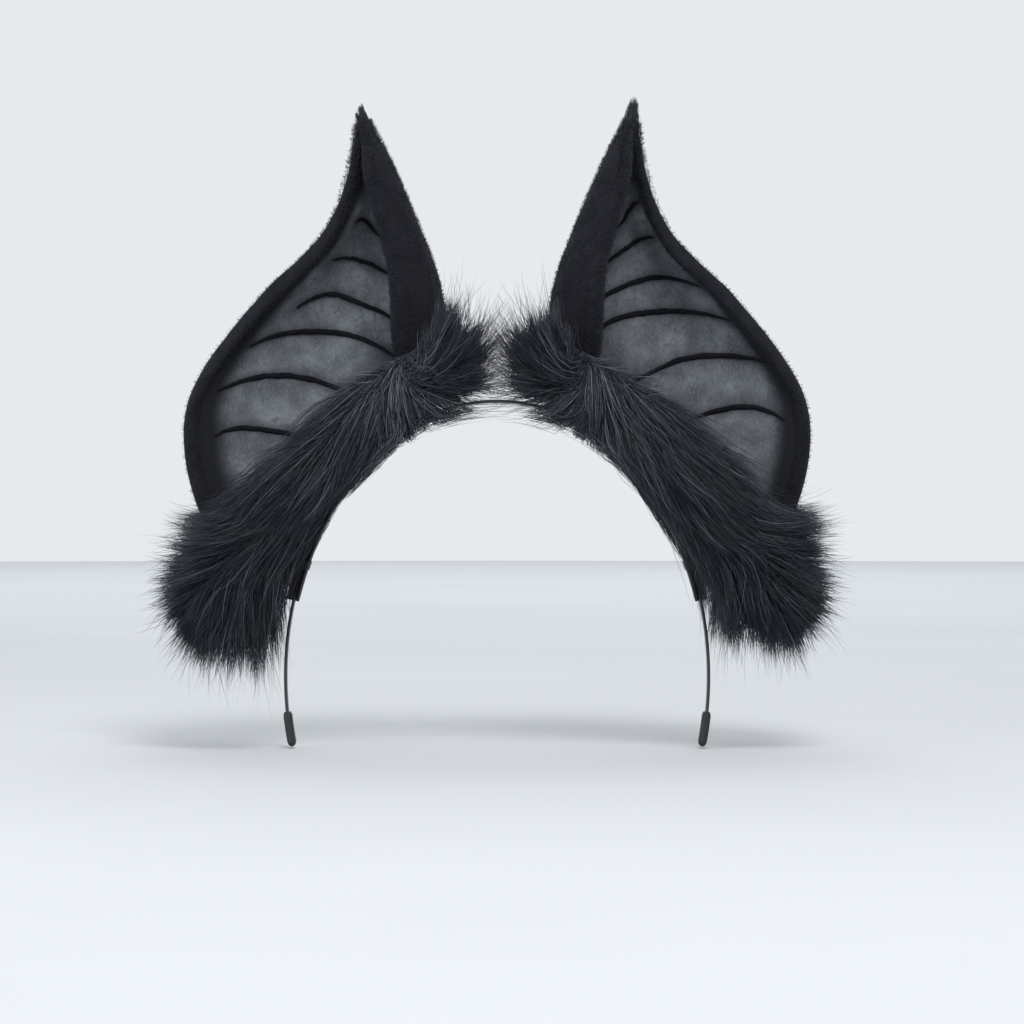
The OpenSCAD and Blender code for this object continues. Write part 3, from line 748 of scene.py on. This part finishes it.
def grow(P, n, seed, back, side):
    """Fibres over one cuff, drawn together into locks."""
    rng = np.random.default_rng(seed)
    K = 6
    poly = OUTLINE[side, back]

    def strand(u, ang, length, lift, jitter, slack):
        pos, nor = cuff_point(P, u, ang, 0.72)
        pts = np.zeros((len(u), K, 3))
        pts[:, 0] = pos
        p = pos.copy()
        crown = 1 - smooth(20, 34, pos[:, 0])
        for i in range(1, K):
            f = (i - 0.5) / (K - 1)
            a = np.radians(flow(p[:, 0], p[:, 2]) + jitter[:, 0] - 26 * crown * f * (pos[:, 2] > 4))
            d = np.stack([np.cos(a), 0 * a, np.sin(a)], 1)
            lf = (lift * (1 - f) ** 1.6)[:, None]
            d = unit(d + nor * lf + np.stack([0 * a, jitter[:, 1] * 0.35 * f, 0 * a], 1))
            p = off_head(p + d * (length / (K - 1))[:, None], slack)
            pts[:, i] = p
        return pts

    def roots(m):
        """Places along and round the roll. Most of the pile faces out; the rest fills in towards the ear."""
        u = rng.uniform(0.0, 1.0, m) ** 0.92
        u = np.where(rng.random(m) < 0.07, rng.uniform(0.93, 1.0, m), u)
        a = rng.uniform(-0.25 * np.pi, 1.25 * np.pi, m)
        a = np.where(rng.random(m) < 0.2, rng.uniform(1.25 * np.pi, 1.75 * np.pi, m), a)
        return u, (-a if back else a)

    def reach(u):
        x = spl(P, u * (len(P) - 1))[:, 0]
        return np.interp(x, [11, 18, 26, 36, 50, 100, 125], [20, 22, 26, 32, 38, 42, 36])

    g = 420
    gu, ga = roots(g)
    glen = reach(gu) * rng.uniform(0.85, 1.2, g)
    guides = strand(gu, ga, glen, rng.uniform(0.35, 0.8, g),
                    np.stack([rng.normal(0, 8, g), rng.normal(0, 0.5, g)], 1), np.full(g, 0.03))

    u, ang = roots(n)
    # a short cover over the parting, where the pile runs off both ways
    part = rng.random(n) < 0.1
    u = np.where(part, rng.uniform(0.1, 0.42, n), u)
    ang = np.where(part, rng.uniform(0.05, 0.7, n) * np.pi * (-1 if back else 1), ang)
    wild = (rng.random(n) < 0.1) & ~part
    inward = np.abs(ang) > 1.25 * np.pi
    wild &= ~inward
    length = (
        reach(u) * rng.uniform(0.55, 1.15, n) * np.where(wild, 1.4, 1.0) * np.where(part | inward, 0.5, 1.0)
    )
    jit = np.stack([
        rng.normal(0, 6, n) + wild * rng.normal(0, 12, n) + part * rng.normal(0, 34, n),
        rng.normal(0, 0.5, n)], 1)
    pts = strand(
        u, ang, length, np.where(part, 0.25, rng.uniform(0.2, 0.95, n)), jit, rng.uniform(0.0, 0.07, n))
    best = np.zeros(n, int)
    for i in range(0, n, 2000):
        best[i:i + 2000] = np.linalg.norm(pts[i:i + 2000, None, 0] - guides[None, :, 0], axis=2).argmin(1)
    pull = (rng.uniform(0.5, 0.95, n) * ~(wild | part))[:, None, None]
    target = shortened(guides[best], np.clip(length / glen[best], 0, 1))
    pts = pts + (target - pts) * pull * (np.linspace(0, 1, K) ** 1.15)[None, :, None]
    k = np.linspace(0, 1, K)[None, :]
    wave = (
        np.sin(k * rng.uniform(2, 6, (n, 1)) + rng.uniform(0, 6.28, (n, 1))) * k * rng.uniform(0, 1.3, (n, 1))
    )
    pts += wave[..., None] * unit(rng.normal(size=(n, 1, 3)))

    # the pile's outline is dense; its locks reach past it by different amounts, and guard hairs further still
    lock = rng.uniform(-3.5, 10.5, g)[best]
    crown = pts[:, 0, 0] < 34
    over = (
        lock * 0.8 + np.minimum(rng.exponential(2.6, n), 9.0) - 2.0
        + wild * rng.uniform(4, 12, n) + wild * crown * rng.uniform(4, 20, n)
    )
    low = pts[:, -1, 2] < -8 - np.maximum(pts[:, -1, 0] - 30, 0) * 0.9
    over = np.where(low & (pts[:, -1, 0] < 84), np.minimum(over, 3.5), over)
    keep = within(pts, over, lambda q: outside(poly, q[..., 0], q[..., 2]))
    edge = lambda q: np.maximum.reduce([
        q[..., 0] - 148.2, -49.2 - q[..., 1], q[..., 1] - 52.8, -157 - q[..., 2], -19 - q[..., 0]])
    keep = np.minimum(keep, within(pts, np.zeros(n), edge))
    pts = shortened(pts, keep)
    inside = outside(poly, pts[:, 0, 0], pts[:, 0, 2]) < 9
    return pts[inside], wild[inside], rng


def fur(side):
    seed = 100 if side == "left" else 200
    for back, P, count, label in ((False, FRONT, 17000, "front"), (True, BACK, 14000, "back")):
        # the backing roll that the pile grows from
        u = np.linspace(0.001, 0.999, 60)
        ang = np.linspace(0, 2 * np.pi, 28, endpoint=False)
        rings = np.stack([cuff_point(P, u, np.full(60, a), 0.72)[0] for a in ang], 1)
        mid = rings.mean(1, keepdims=True)
        rings = mid + (rings - mid) * (1 - 0.07 * np.exp(-(((u - 0.24) / 0.16) ** 2)))[:, None, None]
        rings = rings + 0.5 * np.sin(rings * 0.7 + 1.3)
        co, faces = tube(rings)
        co, faces = mirrored(co, faces, side)
        ob = make(f"{side}_fur_{label}_backing", co, faces, [UNDERCOAT])
        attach(ob, side + "_ear")
        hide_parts(f"{side}_fur_{label}")
        n = count
        pts, guard, rng = grow(P, n, seed + back, back, side)
        n = len(pts)
        radius = np.where(guard, rng.uniform(0.07, 0.11, n), rng.uniform(0.1, 0.18, n))
        x0 = pts[:, 0, 0]
        # painted highlight: more grey and charcoal strands over the parting, on the front roll only
        painted_parting_highlight = smooth(24, 34, x0) * (1 - smooth(46, 70, x0)) * (not back)
        roll = rng.random(n) - 0.24 * painted_parting_highlight * (rng.random(n) < 0.8)
        shade = 3 - np.digitize(roll, [0.05, 0.25, 0.63])
        pieces = 2 if back else 3
        for i in range(pieces):
            sl = slice(i * n // pieces, (i + 1) * n // pieces)
            ob = fibres(f"{side}_fur_{label}_pile_{i + 1}", pts[sl], radius[sl], FUR, shade[sl], side)


def fuzz(side):
    """Short plush nap over the outer and the hem, and the tuft on the tip."""
    rng = np.random.default_rng(300 if side == "left" else 301)
    n = 19000
    m = n * 2 // 5
    t = rng.uniform(0.3, 7.9, n)
    s = rng.uniform(0, 6, n)
    which = rng.random(m) < 0.5
    d = rng.uniform(-0.1, 5.8, m)
    lim0, lim1 = rim0(t[:m], 6.3) / 6.3, rim1(t[:m], 6.3) / 6.3
    s[:m] = np.where(which, d * lim0, 6 - d * lim1)
    h = np.full(n, BACK_SKIN)
    h[:m] = (
        np.where(rng.random(m) < 0.6, 2.95, -3.3) * (1 - 0.55 * smooth(5.6, 7.6, t[:m]))
        * np.sqrt(np.clip(1 - (1 - np.clip(d / 1.6, 0, 1)) ** 2, 0, 1))
    )
    h[m:] = BACK_SKIN * (1 - 0.5 * smooth(6.8, 8, t[m:]))
    pos = off(s, t, h)
    nor = facing(s, t) * np.sign(h)[:, None]
    e = 0.02
    away = unit(surf(s, t) - surf(np.clip(s + np.where(s < 3, e, -e), -0.1, 6.1), t))
    edge = np.zeros(n)
    edge[:m] = 1 - smooth(0.0, 2.2, d)
    nor = unit(nor * (1 - 0.75 * edge)[:, None] + away * (1.2 * edge)[:, None])
    up = unit(surf(s, t + e) - surf(s, t - e))
    length = rng.uniform(0.6, 1.45, n) * (1 + 0.8 * smooth(6.6, 7.8, t))
    K = 3
    pts = np.zeros((n, K, 3))
    pts[:, 0] = pos - nor * 0.15
    lean = up * rng.uniform(0.1, 1.1, (n, 1)) + rng.normal(0, 0.35, (n, 3))
    pts[:, 1] = pos + unit(nor + lean * 0.4) * (length * 0.5)[:, None]
    pts[:, 2] = pts[:, 1] + unit(nor * 0.6 + lean) * (length * 0.5)[:, None]
    ob = fibres(
        f"{side}_plush_nap", pts, rng.uniform(0.07, 0.13, n), FUZZ, (rng.random(n) < 0.35).astype(int), side
    )

    # tip tuft
    n = 1500
    t = rng.uniform(6.9, 8.0, n)
    s = rng.uniform(0.1, 5.9, n)
    h = rng.uniform(-1.7, 1.7, n) * (1 - 0.5 * smooth(7, 8, t))
    pos = off(s, t, h)
    out = unit(facing(s, t) * np.sign(h)[:, None])
    tuft_x = np.array([-1.5, -0.2, 0.7, 1.7]) if side == "left" else np.array([-0.9, 0.1, 0.9, 2.4])
    lock = rng.choice(4, n, p=[0.16, 0.44, 0.26, 0.14])
    top = np.array([56.4, 4.2, 122.5]) if side == "left" else np.array([55.8, 4.2, 117.5])
    reach = np.array([3.2, 8.6 if side == "left" else 6.4, 5.0, 2.2])[lock] * rng.uniform(0.35, 1.0, n)
    aim = top + np.stack([tuft_x[lock], rng.normal(0, 0.5, n), reach], 1)
    want = rng.uniform(4, 9, n)
    K = 5
    pts = np.zeros((n, K, 3))
    p = pos - out * 0.2
    pts[:, 0] = p
    for i in range(1, K):
        f = i / (K - 1)
        d = unit(unit(aim - p) + out * (0.35 * (1 - f)) + rng.normal(0, 0.05, (n, 3)))
        near = np.minimum(np.linalg.norm(aim - p, axis=1), want / (K - 1) * 1.25)
        p = p + d * near[:, None]
        pts[:, i] = p
    ob = fibres(
        f"{side}_tip_hair", pts, rng.uniform(0.08, 0.15, n), FUZZ + [FUR[1]],
        rng.choice(3, n, p=[0.4, 0.2, 0.4]), side
    )
    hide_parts(f"{side}_tip_tuft")


# ---------------------------------------------------------------- band, caps, felt and thread
def arch(a, h):
    a = np.radians(np.asarray(a, float))
    n = unit(np.stack([np.cos(a) / A_HALF, np.sin(a) / RISE], -1))
    return (np.stack([A_HALF * np.cos(a), RISE * (np.sin(a) - 1)], -1) + n * np.asarray(h, float)[..., None])


def strap(angles, lo, hi, half, power=4.0, n=20, ends=None):
    """A strap with a rounded-rectangle section that follows the arch. ends scales the section along it."""
    q = np.linspace(0, 2 * np.pi, n, endpoint=False)
    cy = np.sign(np.cos(q)) * np.abs(np.cos(q)) ** (2 / power)
    ch = np.sign(np.sin(q)) * np.abs(np.sin(q)) ** (2 / power)
    ends = np.ones((len(angles), 2)) if ends is None else ends
    rings = []
    for a, (ey, eh) in zip(angles, ends, strict=True):
        mid, r = (lo + hi) / 2, (hi - lo) / 2
        xz = arch(np.full(n, a), mid + ch * r * eh)
        rings.append(np.stack([xz[:, 0], cy * half * ey, xz[:, 1]], 1))
    return tube(np.array(rings)[:, ::-1])


def band(side):
    a = np.concatenate([[90, 89.97], np.linspace(89.5, -TAIL, 149)])
    co, faces = strap(a, 0, 1.4, 2.5, 5.0, 24)
    co, faces = mirrored(co, faces, side)
    ob = make(f"{side}_band", co, faces, [LACQUER])
    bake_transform(ob)
    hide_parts(f"{side}_band_arm", "band_crown")

    # soft cap on the arm's end
    a = np.concatenate([np.linspace(-TAIL + 6, -TAIL, 24), -TAIL - np.array([0.35, 0.7, 1.0, 1.2, 1.32])])
    ends = np.ones((len(a), 2))
    ends[:4, 1] = [0.72, 0.86, 0.95, 1.0]
    ends[:4, 0] = [0.93, 0.97, 0.99, 1.0]
    ends[-5:, 1] = [0.97, 0.88, 0.7, 0.45, 0.12]
    ends[-5:, 0] = [0.99, 0.95, 0.87, 0.74, 0.55]
    co, faces = strap(a, -1.1, 2.5, 3.6, 3.2, 28, ends)
    co, faces = mirrored(co, faces, side)
    ob = make(f"{side}_cap", co, faces, [RUBBER])
    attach(ob, f"{side}_arm")
    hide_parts(f"{side}_tip_cap")

    # felt pads above and below the band
    a = np.linspace(72, 16, 90)
    along = np.linspace(0, 1, 90)
    L = 98.0
    dist = np.minimum(along, 1 - along) * L
    plan = np.sqrt(np.clip(1 - (1 - np.clip(dist / 6.5, 0, 1)) ** 2, 0.02, 1))
    for label, lo, hi, half, node in (
            ("top_pad", 1.44, 3.8, 6.9, "base_pad"), ("lower_pad", -1.4, -0.04, 6.8, "under_pad")):
        ends = np.stack([plan * (1 + 0.02 * wobble(along * 60, 5)), 1 + 0.04 * wobble(along * 40, 9)], 1)
        co, faces = strap(a, lo, hi, half, 6.0, 28, ends)
        co, faces = mirrored(co, faces, side)
        ob = make(f"{side}_{label}", co, faces, [PAD])
        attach(ob, f"{side}_arm")
        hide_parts(f"{side}_{node}")

    # thread lashings: five turns each
    for label, mid in (("inner", 60.0), ("outer", 24.0)):
        turns, per = 5, 36
        q = np.linspace(0, 2 * np.pi * turns, turns * per)
        hw, lo, hi = 7.25, -1.4 - 0.3, 3.8 + 0.35
        cy = np.sign(np.cos(q)) * np.abs(np.cos(q)) ** 0.35 * hw
        ch = (lo + hi) / 2 + np.sign(np.sin(q)) * np.abs(np.sin(q)) ** 0.35 * (hi - lo) / 2
        ang = mid + (q / q[-1] - 0.5) * 2.0
        xz = arch(ang, ch)
        line = np.stack([xz[:, 0], cy, xz[:, 1]], 1)
        d = unit(np.gradient(line, axis=0))
        side_v = unit(np.cross(d, np.array([0.3, 0.1, 1.0])))
        up_v = np.cross(side_v, d)
        c = np.linspace(0, 2 * np.pi, 8, endpoint=False)
        rings = line[:, None] + 0.3 * (
            side_v[:, None] * np.cos(c)[None, :, None] + up_v[:, None] * np.sin(c)[None, :, None])
        co, faces = tube(rings)
        co, faces = mirrored(co, faces, side)
        ob = make(f"{side}_lashing_{label}", co, faces, [THREAD])
        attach(ob, f"{side}_arm")
        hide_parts(f"{side}_thread_{label}")


# ---------------------------------------------------------------- the felt base under an ear, and its seam
SEAT, FLARE, BASE_T = 4.75, 0.148, 1.9
BASE_ENDS = (19.0, 65.0)


def base_profile():
    """The base's section as (y, height above the band), with its corners rounded off."""
    w = SEAT + 9.2 * FLARE
    P = np.array([
        (-24, 3), (-9.9, 3), (-9.2, w), (0, SEAT), (9.2, w), (9.9, 3), (27, 3), (27, 5.6), (11.5, 5.6),
        (9.5, w + BASE_T), (-9.5, w + BASE_T), (-11.5, 5.6), (-24, 5.6)], float)
    for share in (0.16, 0.25, 0.25):
        Q = np.roll(P, -1, 0)
        P = np.stack([P + (Q - P) * share, Q + (P - Q) * share], 1).reshape(-1, 2)
    return P[::-1]


def base(side):
    P = base_profile()
    a = np.linspace(BASE_ENDS[1], BASE_ENDS[0], 80)
    along = np.minimum(a - BASE_ENDS[0], BASE_ENDS[1] - a)
    round_off = np.sqrt(np.clip(1 - (1 - np.clip(along / 1.1, 0, 1)) ** 2, 0.03, 1))
    mid = np.interp(np.abs(P[:, 0]), [0, 9.3, 11, 27], [SEAT + 1.6, SEAT + 2.3, 4.3, 4.3])
    rings = []
    for i, (q, k) in enumerate(zip(a, round_off, strict=True)):
        h = mid + (P[:, 1] - mid) * k * (1 + 0.03 * np.sin(P[:, 0] * 0.9 + i * 0.35))
        xz = arch(np.full(len(P), q), h)
        rings.append(np.stack([xz[:, 0], P[:, 0] * (0.985 + 0.015 * k), xz[:, 1]], 1))
    co, faces = tube(np.array(rings))
    co, faces = mirrored(co, faces, side)
    ob = make(f"{side}_felt_base", co, faces, [PAD])
    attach(ob, f"{side}_ear")
    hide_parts(f"{side}_ear_base")

    # overcast stitches between the pad and the base
    q = np.linspace(0, 1, 700)
    turn = q * 2 * np.pi * 24
    xz = arch(56 - 28 * q, 4.2 + 0.2 * np.sin(turn))
    line = np.stack([xz[:, 0], 0.33 * np.cos(turn), xz[:, 1]], 1)
    d = unit(np.gradient(line, axis=0))
    u = unit(np.cross(d, np.array([0.0, 1.0, 0.05])))
    v = np.cross(d, u)
    c = np.linspace(0, 2 * np.pi, 6, endpoint=False)[None, :, None]
    co, faces = tube(line[:, None] + 0.15 * (u[:, None] * np.cos(c) + v[:, None] * np.sin(c)))
    co, faces = mirrored(co, faces, side)
    ob = make(f"{side}_stitches", co, faces, [THREAD])
    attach(ob, f"{side}_arm")
    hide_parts(f"{side}_base_seam")


def base_pile(side):
    """Pile sewn to the base between the ear and its cuffs."""
    rng = np.random.default_rng(400 if side == "left" else 401)
    n = 5200
    a = rng.uniform(BASE_ENDS[0] + 0.5, BASE_ENDS[1] - 0.5, n)
    y = np.where(rng.random(n) < 0.5, rng.uniform(-23.5, -8, n), rng.uniform(8, 26.5, n))
    h = np.interp(np.abs(y), [8, 9.5, 11.5, 27], [7.4, 7.6, 5.4, 5.4])
    root = arch(a, h)
    q = np.radians(a)
    up = unit(np.stack([np.cos(q) / A_HALF, np.sin(q) / RISE], 1))
    down = np.stack([up[:, 1], -up[:, 0]], 1)
    length = rng.uniform(9, 19, n)
    K = 6
    pts = np.zeros((n, K, 3))
    p = np.stack([root[:, 0], y, root[:, 1]], 1)
    pts[:, 0] = p
    lean = rng.normal(0, 0.3, (n, 2))
    for i in range(1, K):
        f = i / (K - 1)
        d = up * (0.75 - 0.35 * f) + down * (0.45 + 0.5 * f)
        d = unit(np.stack([d[:, 0], 0.25 * np.sign(y) * f + lean[:, 0], d[:, 1] + 0.3 * lean[:, 1]], 1))
        p = p + d * (length / (K - 1))[:, None]
        pts[:, i] = p
    edge = lambda q: np.maximum.reduce([q[..., 0] - 148.2, -49.2 - q[..., 1], q[..., 1] - 52.8])
    pts = shortened(pts, within(pts, np.zeros(n), edge))
    shade = 3 - np.digitize(rng.random(n), [0.03, 0.2, 0.6])
    ob = fibres(f"{side}_base_pile", pts, rng.uniform(0.1, 0.18, n), FUR, shade, side)


for side in ("left", "right"):
    ear(side)
    band(side)
    base(side)
    fur(side)
    base_pile(side)
    fuzz(side)


# ---------------------------------------------------------------- floor
def floor():
    z = float(cad_box[0][2]) / MM - 0.3
    n = 48
    r = np.concatenate([np.linspace(0, 600, 8), [1200, 2500, 5000]])
    a = np.linspace(0, 2 * np.pi, n, endpoint=False)
    co = [(0, 0, z)] + [(x * math.cos(q), x * math.sin(q), z) for x in r[1:] for q in a]
    tri = [(0, 1 + i, 1 + (i + 1) % n) for i in range(n)]
    quad = [(1 + k * n + i, 1 + (k + 1) * n + i, 1 + (k + 1) * n + (i + 1) % n, 1 + k * n + (i + 1) % n)
            for k in range(len(r) - 2) for i in range(n)]
    m, nt, p = material("pale_floor")
    nt.links.new(
        ramp(nt, noise(nt, 3, 3), [(0.3, (0.46, 0.475, 0.495)), (0.7, (0.485, 0.50, 0.52))]),
        p.inputs["Base Color"]
    )
    p.inputs["Roughness"].default_value = 0.85
    make("floor", co, [np.array(tri), np.array(quad)], [m])


floor()
